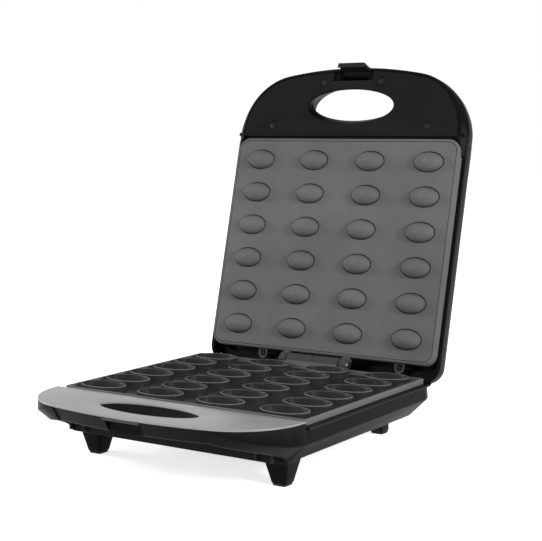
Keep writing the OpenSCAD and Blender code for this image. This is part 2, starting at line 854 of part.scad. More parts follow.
module lid_housing() {
    color(black)
    in_lid()
    difference() {
        union() {
            lid_body();
            lid_handle();
            // lugs at the ends of the rim, beside the handle
            for (s = [-1, 1])
                translate([s * (lid_handle_x + 1.5) - 3, lid_split_y - 1.5, panel_z + 1])
                    cube([6, 3.5, rim_rise + 1]);
        }
        // space for the plate, stepped under the shoulder
        prism(lid_rim_z - 10, lid_rim_z + 0.45 * (lid_top_z - lid_rim_z))
            round_rect(lid_x - wall, lid_split_y + wall, heel_y - 2.4, 6, heel_r - 2.4);
        prism(lid_rim_z - 10, lid_top_z - lid_wall - 4)
            round_rect(lid_x - 11, lid_split_y + 11, heel_y - 12, 6, 8);
        // recess for the inner cover and the hollow behind it
        prism(panel_z - 1, panel_z + panel_t)
            bow_outline(lid_handle_x, lid_front_y, lid_split_y + wall + 1, front_r - 4, 2.6);
        difference() {
            prism(panel_z + panel_t - eps, panel_z + lid_handle_h - 7)
                bow_outline(lid_handle_x, lid_front_y, lid_split_y - 2, front_r - 4, 5.5);
            translate([0, grip_y - 3, 0])
                oval(grip_l + 22, grip_w + 20, panel_z, lid_top_z);
            for (p = cover_screw_at)
                rod(p, 3.8, panel_z, lid_top_z);
            translate([-latch_w / 2 - 10, lid_front_y, panel_z])
                cube([latch_w + 20, 17, 40]);
        }
        grip_tunnel();
        for (p = cover_screw_at)
            rod(p, 1.55, panel_z, panel_z + 14);
        // recess for the latch, open to the front, and its pivot bores
        translate([-latch_w / 2 - fit_gap, lid_front_y - 3, panel_z - 1])
            cube([latch_w + 2 * fit_gap, 15.5, 17.5]);
        translate([0, latch_y, latch_z])
            x_rod(-latch_w / 2 - 7, latch_w / 2 + 7, latch_pin_r + run);
        // slots for the upper plate's front tongues
        for (s = [-1, 1])
            translate([s * tongue_x - 9, lid_split_y - 3, back_z + 1.1])
                cube([18, wall + 4, 2.6]);
        for (p = lamp_at)
            rod(p, lamp_r + run, lid_rim_z, lid_top_z + 5);
    }
    color(black)
    in_lid()
    for (p = tab_at)
        difference() {
            rod(p, 4, upper_skirt_z + 1.5, lid_rim_z + 0.48 * (lid_top_z - lid_rim_z));
            rod(p, 1.45, 0, lid_top_z - 5);
        }
}
tongue_x = cup_x * 0.75;

module lid_handle_cover() {
    color(black)
    in_lid()
    difference() {
        prism(panel_z, panel_z + panel_t - 0.2)
            bow_outline(lid_handle_x, lid_front_y, lid_split_y + wall - 1.8, front_r - 4, 2.8);
        translate([0, grip_y, 0])
            oval(grip_l, grip_w, panel_z - 5, lid_top_z);
        for (p = cover_screw_at) {
            rod(p, 3.3, panel_z - 1, panel_z + 1.5);
            rod(p, 1.8, panel_z - 1, panel_z + 5);
        }
        translate([-latch_w / 2 - 7.5, lid_front_y - 3, panel_z - 1])
            cube([latch_w + 15, 15.5, 10]);
    }
}

module handle_cover_screws() {
    color(steel)
    in_lid()
    for (p = cover_screw_at)
        screw(p, panel_z + 0.3, 2.9, 1.2, 1.5, 10);
}

module dome(l, w, h) {
    scale([l / w, 1, 2 * h / w])
        sphere(r = w / 2);
}

module upper_plate() {
    color(coated)
    in_lid()
    difference() {
        union() {
            difference() {
                union() {
                    prism(face_z + 0.5, upper_skirt_z)
                        round_rect(plate_x, -upper_y, upper_y, upper_corner_r, upper_corner_r);
                    prism(face_z, face_z + 1)
                        round_rect(plate_x - 2.4, 2.4 - upper_y, upper_y - 2.4, upper_corner_r - 2.4, upper_corner_r - 2.4);
                }
                prism(back_z, upper_skirt_z + 1)
                    round_rect(plate_x - 2.6, 2.6 - upper_y, upper_y - 2.6, upper_corner_r - 2.6, upper_corner_r - 2.6);
            }
            translate([0, 0, face_z + 0.5])
                at_grid()
                    dome(dome_l, dome_w, dome_h + 0.5);
            for (p = posts)
                rod(p, 4, back_z - 1, upper_tray_z);
            for (s = [-1, 1]) {
                translate([s * tongue_x - 8, -upper_y - wall - 1.5, back_z + 1.4])
                    cube([16, wall + 3, 2]);
                translate([0, hinge_y, hinge_z])
                    knuckle(s);
            }
        }
        for (p = posts)
            rod(p, 1.45, back_z - 1, upper_tray_z + 1);
        translate([0, hinge_y, hinge_z])
            x_rod(-pin_x, pin_x, pin_r + run);
    }
}

// Knuckle on its arm, reaching from the upper plate's rear edge round the hinge pin
module knuckle(s) {
    x0 = s > 0 ? knuckle_x : -knuckle_x - knuckle_w;
    edge = upper_y - hinge_y;
    low = face_z - hinge_z;
    x_rod(x0, x0 + knuckle_w, barrel_r);
    translate([x0 + knuckle_w, 0, 0])
        rotate([0, -90, 0])
            linear_extrude(knuckle_w)
                polygon([[low + 0.8, edge - 0.7], [low + upper_skirt_h - 1, edge - 0.7], [barrel_r - 0.2, -1],
                    [0, 0], [-4, -4.2]]);
}

// Steel tabs from the plate's rear flange to the lid's bosses
module plate_tabs() {
    color(steel)
    in_lid()
    for (p = tab_at)
        difference() {
            union() {
                rod(p, 5, upper_skirt_z, upper_skirt_z + 1.5);
                translate([p[0] - 5, upper_y - 6, upper_skirt_z])
                    cube([10, p[1] - upper_y + 6, 1.5]);
            }
            rod(p, 1.7, 0, lid_top_z);
        }
}

module plate_tab_screws() {
    color(steel)
    in_lid()
    for (p = tab_at)
        screw(p, upper_skirt_z - 1.6, 2.9, 1.6, 1.4, 9);
}

module reflector_screws() {
    color(steel)
    in_lid()
    for (p = posts)
        translate([0, 0, 2 * upper_tray_z + 2 * sheet])
            mirror([0, 0, 1])
                screw(p, upper_tray_z + sheet - 1.6, 3.2, 1.6 - eps, 1.4, 7);
}

module lens(p) {
    in_lid() {
        rod(p, lamp_r, lid_top_z - lid_wall - 7, lid_top_z + 0.3);
        rod(p, lamp_r - 0.6, lid_top_z, lid_top_z + 0.8);
    }
}

module power_lens() {
    color([0.6, 0.05, 0.03])
    lens(lamp_at[0]);
}

module ready_lens() {
    color([0.05, 0.45, 0.1])
    lens(lamp_at[1]);
}

module lamp_board() {
    color([0.1, 0.3, 0.15])
    in_lid()
    translate([-22, lamp_at[0][1] - 9, lid_top_z - lid_wall - 8.6])
        cube([44, 18, 1.6]);
}

// ---------- latch ----------

module latch_pin() {
    color(steel)
    in_lid()
    translate([0, latch_y, latch_z])
        x_rod(-latch_w / 2 - 6, latch_w / 2 + 6, latch_pin_r);
}

// Lever with the hook at its lower end, as one profile across its width: [up, back] from the pivot
module latch() {
    hook_z = catch_z - latch_z - 0.4;
    arm_y = front_y + draft - latch_y - 0.4;
    color(black)
    in_latch()
    intersection() {
        translate([latch_w / 2, 0, 0])
            rotate([0, -90, 0])
                linear_extrude(latch_w)
                    difference() {
                        union() {
                            circle(r = 3.4, $fn = 48);
                            polygon([
                                [0, 3.4], [-4.5, arm_y + 1.6], [handle_top_z + 1 - latch_z, arm_y], [hook_z, arm_y],
                                [hook_z, arm_y + 2.1], [hook_z - 2.6, arm_y + 0.4], [hook_z - 2.9, arm_y - 1],
                                [hook_z - 2, arm_y - latch_t], [1.5, arm_y - latch_t],
                                [4.4, arm_y - latch_t + 1], [5.4, arm_y], [4.6, 1]
                            ]);
                        }
                        circle(r = latch_pin_r + run, $fn = 48);
                    }
        // corners of the lower end are rounded
        translate([0, 20, 0])
            rotate([90, 0, 0])
                linear_extrude(40)
                    round_rect(latch_w / 2, hook_z - 2.9, 8, 6, 1.5);
    }
}

base_housing();
base_handle_cover();
lower_plate();
lower_heating_element();
lower_element_clips();
lower_reflector();
thermostat();
thermal_fuse();
terminal_block();
cord_inlet_bushing();
front_feet();
rear_feet();
foot_pads();
base_screws();
latch_catch();
hinge_pin();
hinge_pin_clip();
lid_housing();
lid_handle_cover();
handle_cover_screws();
upper_plate();
plate_tabs();
plate_tab_screws();
upper_heating_element();
upper_element_clips();
upper_reflector();
reflector_screws();
power_lens();
ready_lens();
lamp_board();
latch_pin();
latch();
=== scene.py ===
"""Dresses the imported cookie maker: finer meshes for the housings, plates, covers, latch, feet and screws,
and a node-based finish for every piece. Lengths below are millimetres until a mesh is written."""
import math

import bmesh
import bpy
from mathutils import Matrix, Vector


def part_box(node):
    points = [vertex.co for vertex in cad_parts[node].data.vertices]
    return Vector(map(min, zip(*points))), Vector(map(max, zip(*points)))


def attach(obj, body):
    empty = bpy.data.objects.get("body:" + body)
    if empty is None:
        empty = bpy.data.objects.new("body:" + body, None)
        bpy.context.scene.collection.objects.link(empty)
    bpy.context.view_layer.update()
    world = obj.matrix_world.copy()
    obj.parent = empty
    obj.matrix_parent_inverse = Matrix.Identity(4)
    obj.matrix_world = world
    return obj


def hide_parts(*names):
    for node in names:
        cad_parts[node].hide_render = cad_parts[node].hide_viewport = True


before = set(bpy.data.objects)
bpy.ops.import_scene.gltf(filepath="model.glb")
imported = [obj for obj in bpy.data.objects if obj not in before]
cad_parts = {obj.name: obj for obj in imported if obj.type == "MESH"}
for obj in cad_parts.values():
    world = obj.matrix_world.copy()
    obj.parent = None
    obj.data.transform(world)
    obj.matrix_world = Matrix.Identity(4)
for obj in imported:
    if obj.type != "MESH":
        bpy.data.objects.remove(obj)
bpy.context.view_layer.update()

MM = 0.001

# ---------------------------------------------------------------- sizes, as in the CAD part (lid closed)
COLS, ROWS, PITCH_X, PITCH_Y = 4, 6, 60.0, 32.1
CENTRES = [((i - (COLS - 1) / 2) * PITCH_X, (j - (ROWS - 1) / 2) * PITCH_Y)
           for i in range(COLS) for j in range(ROWS)]
CUP_A, CUP_B, CUP_DEPTH = 21.5, 14.5, 13.0          # half length and half width over the rim, depth
DOME_A, DOME_B, DOME_H = 14.75, 9.3, 8.0
RIM_Z, FACE_Z = 57.3, 57.73                         # top of the cups, face of the upper plate
FLOOR_TOP, WEB, LIP_Z = 51.6, 3.0, 55.5             # lower plate's floor, its thickness, its border
PLATE_X, LOWER_Y, UPPER_Y = 119.0, 96.25, 101.75    # half width and half depths of the plates
UPPER_R = 12                                        # corner of the upper plate
SKIRT_BOTTOM, SKIRT_TOP = 45.5, 66.73
STUD_X, STUD_R = 60, 4                              # studs between the cups, with the housing screws below

HOUSE_X, FRONT_Y, REAR_Y = 123.0, -168.85, 113.754
TUB_TOP, CREASE_Z, PAN_Z = 51.3, 38.1, 22.0
DRAFT, BEVEL = 1.5, 16.1
COVER_Z, HANDLE_TOP = 54.0, 55.6
BACK_Y = -101.25                                    # back edge of the base handle
BOW_R, FRONT_R, REAR_R = 390.0, 60.0, 24.0          # bowed front edge and the corners of the outline
GRIP_Y, GRIP_A, GRIP_B = -132.85, 46.5, 16.5
INLET_Z, INLET_R, INLET_BORE = 31, 8, 5.05          # boss for the mains lead's bushing
FOOT_X, FOOT_Y = 91.5, -85.75
REAR_FOOT_X, REAR_FOOT_Y, LEAN = 71, REAR_Y - 21, 12
PAD_TOP, FOOT_TOP = 1.5, 21.7

LID_X, LID_HANDLE_X, LID_FRONT, LID_SPLIT, HEEL_Y = 123.0, 117.0, -169.65, -105.75, 118.05
LID_RIM, LID_TOP, PANEL_Z = 63.73, 91.03, 57.93
LID_FRONT_R, LID_REAR_R, LID_SPLIT_R = 56, 17, 8
COVER_T = 2.8                                       # thickness of the lid's handle cover
HINGE_Y, HINGE_Z, LID_OPEN = 109.05, 56.23, 104.25
KNUCKLE_R, KNUCKLE_BORE = 6, 2.06
LATCH_Y, LATCH_Z, LATCH_SWING, LATCH_W = -165.05, 66.93, 8.5, 29.0
LATCH_BACK = LID_FRONT + 12.5                       # back of the latch's recess
LENS_X, LENS_Y, LENS_R = 11, LID_SPLIT + 42, 4.05
COVER_SCREWS = [(s * x, LID_FRONT + y) for s in (-1, 1) for x, y in ((30.4, 13.1), (83.4, 55.3))]
TAB_SCREWS = [(-64, UPPER_Y + 3.6), (82, UPPER_Y + 3.6)]

CUP_N, DOME_N, GRIP_N = 72, 64, 128                 # points round a cup, a dome and a grip hole
REAR_N = 14                                         # steps round a rear corner of an outline

# ---------------------------------------------------------------- where the bodies stand at rest
GRID_Y = (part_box("hinge_pin")[0].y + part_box("hinge_pin")[1].y) / 2 / MM - HINGE_Y
BASE = Matrix.Scale(MM, 4) @ Matrix.Translation((0, GRID_Y, 0))
LID = (Matrix.Scale(MM, 4) @ Matrix.Translation((0, GRID_Y + HINGE_Y, HINGE_Z))
       @ Matrix.Rotation(math.radians(-LID_OPEN), 4, "X") @ Matrix.Translation((0, -HINGE_Y, -HINGE_Z)))
LATCH = LID @ Matrix.Translation((0, LATCH_Y, LATCH_Z)) @ Matrix.Rotation(math.radians(-LATCH_SWING), 4, "X")
PLACES = {"base": BASE, "lid": LID, "latch_lever": LATCH}


# ---------------------------------------------------------------- materials
COAT_ROUGH, RELIEF = 0.2, 0.0004
EDGE_FROM, EDGE_TO = 0.535, 0.64                    # pointiness at which the painted highlight on an edge starts and ends


def node(nodes, kind, **values):
    """Adds a shader node and sets its inputs; an underscore stands for the space in an input's name."""
    made = nodes.new(kind)
    for key, value in values.items():
        made.inputs[key.replace("_", " ")].default_value = value
    return made


def material(name, base, rough, metal=0.0, variation=0.12, grain=900.0, bump=0.06, bump_scale=1500.0,
             rough_var=0.08, coat=0.0, edge=0.0, specular=0.5, ior=1.5, streak=None):
    """A finish from nodes: colour that varies slowly, fine relief, uneven gloss and a painted highlight on sharp
    edges.
    """
    m = bpy.data.materials.new(name)
    m.use_nodes = True
    n, link = m.node_tree.nodes, m.node_tree.links.new
    bsdf = n["Principled BSDF"]
    plain = {"Metallic": metal, "Coat Weight": coat, "Coat Roughness": COAT_ROUGH,
             "Specular IOR Level": specular, "IOR": ior}
    for key, value in plain.items():
        bsdf.inputs[key].default_value = value
    place = n.new("ShaderNodeTexCoord").outputs["Object"]

    slow = node(n, "ShaderNodeTexNoise", Scale=14.0, Detail=5.0)
    link(place, slow.inputs["Vector"])
    ramp = n.new("ShaderNodeValToRGB")
    low, high = ramp.color_ramp.elements
    low.position, high.position = 0.3, 0.7
    low.color = (*[c * (1 - variation) for c in base], 1)
    high.color = (*[min(1.0, c * (1 + variation)) for c in base], 1)
    link(slow.outputs["Fac"], ramp.inputs["Fac"])
    colour = ramp.outputs["Color"]
    if edge > 0:
        # painted highlight: edges that pointiness finds sharp get a lighter colour
        shape = n.new("ShaderNodeNewGeometry")
        edge_highlight = node(n, "ShaderNodeMapRange", From_Min=EDGE_FROM, From_Max=EDGE_TO, To_Max=edge)
        link(shape.outputs["Pointiness"], edge_highlight.inputs["Value"])
        mix = n.new("ShaderNodeMix")
        mix.data_type = "RGBA"
        mix.inputs["B"].default_value = (*[min(1.0, c * 3 + 0.03) for c in base], 1)
        link(edge_highlight.outputs["Result"], mix.inputs["Factor"])
        link(colour, mix.inputs["A"])
        colour = mix.outputs["Result"]
    link(colour, bsdf.inputs["Base Color"])

    fine = node(n, "ShaderNodeTexNoise", Scale=bump_scale, Detail=2.0)
    if streak:
        stretch = node(n, "ShaderNodeMapping", Scale=streak)
        link(place, stretch.inputs["Vector"])
        link(stretch.outputs["Vector"], fine.inputs["Vector"])
    else:
        link(place, fine.inputs["Vector"])
    gloss = node(n, "ShaderNodeMapRange", To_Min=max(0.02, rough - rough_var), To_Max=min(1.0, rough + rough_var))
    mid = node(n, "ShaderNodeTexNoise", Scale=grain, Detail=3.0)
    link(place, mid.inputs["Vector"])
    link(mid.outputs["Fac"], gloss.inputs["Value"])
    link(gloss.outputs["Result"], bsdf.inputs["Roughness"])
    relief = node(n, "ShaderNodeBump", Strength=bump, Distance=RELIEF)
    link(fine.outputs["Fac"], relief.inputs["Height"])
    link(relief.outputs["Normal"], bsdf.inputs["Normal"])
    return m


FINISHES = {
    "housing_plastic": dict(base=(0.0052, 0.0052, 0.0054), rough=0.36, bump=0.08, edge=0.6,
                            specular=0.05, ior=1.35),
    "handle_gloss": dict(base=(0.255, 0.255, 0.257), rough=0.36, bump=0.02, rough_var=0.03, variation=0.05),
    "cover_matte": dict(base=(0.0125, 0.0125, 0.0129), rough=0.55, bump=0.10, edge=0.3,
                        specular=0.06, ior=1.15),
    # one non-stick coating in two copies: this lit one, and a darker one below
    "nonstick_plate": dict(base=(0.127, 0.127, 0.128), rough=0.50, bump_scale=2200.0, edge=0.9,
                           specular=0.06, ior=1.05),
    # painted shade: the same coating made darker, for the lower plate's floor and cups and for the hinge knuckles
    "nonstick_shaded": dict(base=(0.026, 0.026, 0.027), rough=0.36, bump_scale=2200.0, edge=1.0,
                          specular=0.10, ior=1.3),
    "element_sheath": dict(base=(0.30, 0.29, 0.28), rough=0.4, metal=1.0, variation=0.25, grain=200.0),
    "sheet_steel": dict(base=(0.60, 0.60, 0.58), rough=0.32, metal=1.0, bump=0.05, streak=(1, 60, 1)),
    "bright_steel": dict(base=(0.40, 0.40, 0.40), rough=0.30, metal=1.0, bump=0.03),
    "grey_steel": dict(base=(0.035, 0.035, 0.035), rough=0.50, metal=0.4, bump=0.05, edge=0.2, specular=0.3),
    # near-black screws; the latch catch also takes this finish, and its darkness there is partly painted shade inside
    # the latch notch
    "dark_screws": dict(base=(0.007, 0.007, 0.007), rough=0.45, bump=0.05, edge=0.8, specular=0.2),
    "ceramic": dict(base=(0.78, 0.75, 0.68), rough=0.25, bump=0.03),
    "grommet": dict(base=(0.018, 0.018, 0.018), rough=0.75, bump=0.15),
    "pad_rubber": dict(base=(0.014, 0.014, 0.014), rough=0.85, bump=0.2),
    "board": dict(base=(0.05, 0.16, 0.08), rough=0.4, bump=0.04),
    "latch_plastic": dict(base=(0.008, 0.008, 0.0084), rough=0.32, bump=0.04, edge=0.12, specular=0.15),
    "lens_red": dict(base=(0.55, 0.03, 0.02), rough=0.15, bump=0.02, coat=0.5),
    "lens_green": dict(base=(0.05, 0.40, 0.10), rough=0.15, bump=0.02, coat=0.5),
}
M = {name: material(name, **look) for name, look in FINISHES.items()}


# ---------------------------------------------------------------- meshes and objects
# A part is (points, faces). A loop is a list of (x, y); a ring is a list of points.
def welded(me, dist):
    """The mesh as a bmesh, with doubles merged and its normals outward."""
    bm = bmesh.new()
    bm.from_mesh(me)
    bmesh.ops.remove_doubles(bm, verts=bm.verts, dist=dist)
    bmesh.ops.recalc_face_normals(bm, faces=bm.faces)
    return bm


def write(name, part, body, mat, replaces, angle):
    """Makes one piece of the assembly, smooth except across edges sharper than the angle."""
    verts, faces = part
    matrix = PLACES[body]
    me = bpy.data.meshes.new(name)
    me.from_pydata([tuple(matrix @ Vector(v)) for v in verts], [], faces)
    o = bpy.data.objects.new(name, me)
    bpy.context.scene.collection.objects.link(o)
    me.materials.append(M[mat])
    bm = welded(me, 1e-6)
    limit = math.radians(angle)
    for f in bm.faces:
        f.smooth = True
    for e in bm.edges:
        e.smooth = len(e.link_faces) == 2 and e.calc_face_angle(0.0) < limit
    bm.to_mesh(me)
    bm.free()
    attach(o, body)
    if replaces:
        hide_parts(*replaces)


def temp(part):
    """A helper object for the booleans, in millimetres."""
    me = bpy.data.meshes.new("temp")
    me.from_pydata(part[0], [], part[1])
    bm = welded(me, 1e-5)
    bm.to_mesh(me)
    bm.free()
    o = bpy.data.objects.new("temp", me)
    bpy.context.scene.collection.objects.link(o)
    return o


def carve(body, steps):
    """The part left after boolean steps, each (operation, part)."""
    o = temp(body)
    tools = []
    for operation, part in steps:
        tool = temp(part)
        tools.append(tool)
        mod = o.modifiers.new("b", "BOOLEAN")
        mod.operation = operation
        mod.object = tool
        mod.solver = "MANIFOLD"
    done = o.evaluated_get(bpy.context.evaluated_depsgraph_get())
    res = done.to_mesh()
    verts = [tuple(v.co) for v in res.vertices]
    faces = [tuple(p.vertices) for p in res.polygons]
    done.to_mesh_clear()
    for t in [o, *tools]:
        me = t.data
        bpy.data.objects.remove(t)
        bpy.data.meshes.remove(me)
    return verts, faces


def adding(parts):
    return [("UNION", part) for part in parts]


def cutting(parts):
    return [("DIFFERENCE", part) for part in parts]


def join(parts):
    verts, faces = [], []
    for v, f in parts:
        base = len(verts)
        verts += list(v)
        faces += [tuple(i + base for i in q) for q in f]
    return verts, faces


def moved(part, dx, dy):
    return [(x + dx, y + dy, z) for x, y, z in part[0]], part[1]


def bridge(rings, close_low=True, close_high=True):
    """Tube through rings of equal length, closed at its ends where asked."""
    n = len(rings[0])
    verts = [p for r in rings for p in r]
    faces = []
    for r in range(len(rings) - 1):
        for k in range(n):
            a, b = r * n + k, r * n + (k + 1) % n
            faces.append((a, b, b + n, a + n))
    if close_low:
        faces.append(tuple(range(n - 1, -1, -1)))
    if close_high:
        faces.append(tuple(range((len(rings) - 1) * n, len(rings) * n)))
    return verts, faces


def box(x0, x1, y0, y1, z0, z1):
    v = [(x, y, z) for z in (z0, z1) for y in (y0, y1) for x in (x0, x1)]
    return v, [(0, 2, 3, 1), (4, 5, 7, 6), (0, 1, 5, 4), (2, 6, 7, 3), (0, 4, 6, 2), (1, 3, 7, 5)]


def ellipse(a, b, n, cx=0.0, cy=0.0):
    return [(cx + a * math.cos(2 * math.pi * k / n), cy + b * math.sin(2 * math.pi * k / n)) for k in range(n)]


def rounded(hx, y0, y1, r, n=12):
    """Rounded rectangle from the right rear corner, counter-clockwise."""
    out = []
    for cx, cy, a0 in ((hx - r, y1 - r, 0), (-hx + r, y1 - r, 90), (-hx + r, y0 + r, 180), (hx - r, y0 + r, 270)):
        for k in range(n + 1):
            t = math.radians(a0 + 90 * k / n)
            out.append((cx + r * math.cos(t), cy + r * math.sin(t)))
    return out


def ring(loop, z):
    return [(x, y, z) for x, y in loop]


def ring_x(loop, x):
    return [(x, y, z) for y, z in loop]


def ring_y(loop, y):
    return [(x, y, z) for x, z in loop]


def prism(loop, z0, z1):
    return bridge([ring(loop, z) for z in (z0, z1)])


def stations(hw, yf, yb, rf, rb, nc=36, nb=24, nr=REAR_N):
    """Outline with a bowed front: (centre, angle, radius, share of the front corner, on the bow)."""
    b = math.degrees(math.asin((hw - rf) / (BOW_R - rf)))
    cy = yf + BOW_R - math.sqrt((BOW_R - rf) ** 2 - (hw - rf) ** 2)
    cx, seam = hw - rf, 0.12
    s = [((hw - rb, yb - rb), 90 * k / nr, rb, 0.0, 0) for k in range(nr + 1)]
    s += [((rb - hw, yb - rb), 90 + 90 * k / nr, rb, 0.0, 0) for k in range(nr + 1)]
    s += [((-cx, cy), 180 + (90 - b) * k / nc, rf, k / nc, 0) for k in range(nc + 1)]
    s += [((0, yf + BOW_R), 270 + (b - seam) * (2 * k / nb - 1), BOW_R, 1.0, 1) for k in range(nb + 1)]
    s += [((cx, cy), 360 - (90 - b) * k / nc, rf, k / nc, 0) for k in range(nc, -1, -1)]
    return s


def at(s, inset, z):
    """Point of the outline at a station, moved inwards."""
    t = math.radians(s[1])
    return (s[0][0] + (s[2] - inset) * math.cos(t), s[0][1] + (s[2] - inset) * math.sin(t), z)


def bowed(hw, yf, rf, inset, back):
    """Outline of a handle, counter-clockwise, with a straight back edge."""
    front = stations(hw, yf, back + 2, rf, 1, 36, 40)[2 * (REAR_N + 1):]
    return [(hw - inset, back), (-hw + inset, back)] + [at(s, inset, 0)[:2] for s in front]


def fillet(points, radii, steps=3, closed=False):
    """Rounds the corners of a polyline of pairs; an open one keeps its two ends."""
    n, out = len(points), []
    for i in range(n) if closed else range(1, n - 1):
        p, a, b = Vector(points[i]), Vector(points[i - 1]), Vector(points[(i + 1) % n])
        da, db = a - p, b - p
        r = min(radii[i], da.length * 0.45, db.length * 0.45)
        if r < 1e-4:
            out += [tuple(p)] * (steps + 1)
            continue
        s, e = p + da.normalized() * r, p + db.normalized() * r
        for k in range(steps + 1):
            t = k / steps
            out.append(tuple(s * (1 - t) ** 2 + p * 2 * t * (1 - t) + e * t ** 2))
    return out if closed else [points[0], *out, points[-1]]


def smooth(pairs, n=20):
    """Passes a smooth curve through (height, inset) pairs."""
    out = []
    for k in range(n + 1):
        t = (len(pairs) - 1) * k / n
        i = min(int(t), len(pairs) - 2)
        u = t - i
        p = [pairs[max(0, i - 1)], pairs[i], pairs[i + 1], pairs[min(len(pairs) - 1, i + 2)]]
        out.append(tuple(0.5 * (2 * p[1][c] + (p[2][c] - p[0][c]) * u
                                + (2 * p[0][c] - 5 * p[1][c] + 4 * p[2][c] - p[3][c]) * u * u
                                + (3 * p[1][c] - p[0][c] - 3 * p[2][c] + p[3][c]) * u ** 3) for c in (0, 1)))
    return out


def flat_with_holes(outer, holes, z):
    """Triangulated flat face between an outer loop and holes."""
    bm = bmesh.new()
    edges = []
    for loop in [outer, *holes]:
        vs = [bm.verts.new((x, y, z)) for x, y in loop]
        for k in range(len(vs)):
            edges.append(bm.edges.new((vs[k], vs[(k + 1) % len(vs)])))
    bmesh.ops.triangle_fill(bm, use_beauty=True, use_dissolve=False, edges=edges)
    bm.verts.index_update()
    verts = [tuple(v.co) for v in bm.verts]
    faces = [tuple(v.index for v in f.verts) for f in bm.faces]
    bm.free()
    return verts, faces


def offset(loop, d):
    """A counter-clockwise loop moved inwards by d."""
    out, n = [], len(loop)
    for k in range(n):
        p0, p1, p2 = Vector(loop[k - 1]), Vector(loop[k]), Vector(loop[(k + 1) % n])
        t = (p2 - p0).normalized()
        out.append(tuple(p1 + Vector((-t.y, t.x)) * d))
    return out


def slab(outer, hole, levels):
    """Plate with a hole and rounded edges; levels are (height, inset of the outline and of the hole's edge)."""
    parts = [bridge([ring(offset(outer, d), z) for z, d in levels], False, False),
             bridge([ring(offset(hole, -d), z) for z, d in levels], False, False)]
    for z, d in (levels[0], levels[-1]):
        parts.append(flat_with_holes(offset(outer, d), [offset(hole, -d)], z))
    return join(parts)


def tube_x(x0, x1, r, hole, cy, cz, n=56, chamfer=0.5):
    """Hinge knuckle: a tube along X with chamfered outer ends."""
    ends = ((x0, hole), (x0, r - chamfer), (x0 + chamfer, r), (x1 - chamfer, r), (x1, r - chamfer), (x1, hole))
    rings = [ring_x(ellipse(q, q, n, cy, cz), x) for x, q in ends]
    return bridge(rings + rings[:1], False, False)


def extrude_x(profile, x0, x1, chamfer=0.3):
    """Solid along X from (y, z) points, its ends drawn in a little towards their middle."""
    cy = sum(p[0] for p in profile) / len(profile)
    cz = sum(p[1] for p in profile) / len(profile)

    def drawn_in(p):
        d = Vector((cy - p[0], cz - p[1]))
        return tuple(Vector(p) + d.normalized() * min(chamfer, d.length))
    small = [drawn_in(p) for p in profile]
    return bridge([ring_x(small, x0), ring_x(profile, x0 + chamfer), ring_x(profile, x1 - chamfer),
                   ring_x(small, x1)])


def revolve(profile, cx, cy, n=40):
    """Solid of revolution about a vertical line; profile runs from the axis to the axis as (radius, height)."""
    rings = [ring(ellipse(r, r, n, cx, cy), z) for r, z in profile[1:-1]]
    verts, faces = bridge(rings, False, False)
    for end, first in ((profile[0], 0), (profile[-1], (len(rings) - 1) * n)):
        verts.append((cx, cy, end[1]))
        c = len(verts) - 1
        faces += [(c, first + k, first + (k + 1) % n) for k in range(n)]
    return verts, faces


# ---------------------------------------------------------------- base housing
def crease(w):
    return CREASE_Z + (COVER_Z - 0.2 - CREASE_Z) * w ** 1.4


def lower_edge(w):
    return PAN_Z + 20.0 * w ** 0.6


def tub_section(s):
    """The tub's side at a station; its crease climbs and its bevel fades as the share w grows."""
    w, recess = s[3], 1.2 * s[4]
    prof = [(22 + 8 * w, 43.0), (BEVEL + 4 - 7 * w, lower_edge(w)),
            (BEVEL - w * (BEVEL - 8.1) + recess, lower_edge(w)),
            (DRAFT * (1 - (1 - w) ** 3) + recess, crease(w)), (DRAFT + 0.02, COVER_Z)]
    return [at(s, i, z) for i, z in fillet(prof, [0, 1.0, 1.6, 0.9, 0])]


def base_shell():
    sections = [tub_section(s) for s in stations(HOUSE_X, FRONT_Y, REAR_Y, FRONT_R, REAR_R)]
    pan = bridge([ring(rounded(HOUSE_X - BEVEL - 1 - d, -109.25 + d, REAR_Y - BEVEL - 1 - d, 10 - d), z)
                  for z, d in ((21.7, 1.2), (22.0, 0.5), (22.7, 0), (CREASE_Z, 0))])
    bead = bridge([ring(rounded(HOUSE_X + 2.5 - d, BACK_Y - 40, REAR_Y + 1.6 - d, REAR_R), z)
                   for z, d in ((49.1, 2.2), (49.1, 0.9), (49.5, 0.3), (50.2, 0.0), (50.9, 0.3),
                                (TUB_TOP, 0.9), (TUB_TOP, 2.2))])
    bead = carve(bead, cutting([box(-200, 200, -400, BACK_Y, 0, 100)]))
    foot_ribs = [box(x - 1, x + 1, -112.5, -105, PAN_Z + 1.6, CREASE_Z)
                 for x in [sx * FOOT_X + k * 7.2 for sx in (-1, 1) for k in (-1, 1)]]
    boss = bridge([ring_y(ellipse(INLET_R, INLET_R, 48, 0, INLET_Z), y) for y in (REAR_Y - BEVEL, REAR_Y + 0.5)])
    bore = bridge([ring_y(ellipse(INLET_BORE, INLET_BORE, 48, 0, INLET_Z), y)
                   for y in (REAR_Y - 30, REAR_Y + 10)])
    above = box(-130, 130, BACK_Y, 400, TUB_TOP, 80)
    plate_seat = prism(rounded(PLATE_X + 0.6, -LOWER_Y - 0.6, REAR_Y - 2.6, 6), 45.2, 60)
    hollow = prism(rounded(HOUSE_X - 12, -LOWER_Y + 4, REAR_Y - 10, 6), 32.0, 50)
    hollow_floor = prism(rounded(HOUSE_X - 20, -LOWER_Y + 4, REAR_Y - 18, 6), 24.5, 50)
    hinge_gap = box(-41.5, 41.5, REAR_Y - 8, REAR_Y + 12, 49.03, 80)
    grip = prism(ellipse(GRIP_A, GRIP_B, 96, 0, GRIP_Y), 10, 60)
    latch_notch = box(-17.5, 17.5, FRONT_Y - 5, FRONT_Y + 10, 38, 53.9)
    return carve(bridge(list(zip(*sections))),
                 adding([pan, bead, *foot_ribs, boss])
                 + cutting([above, plate_seat, hollow, hollow_floor, hinge_gap, grip, latch_notch, bore]))


write("base_shell", base_shell(), "base", "housing_plastic", ["base_housing"], 28)


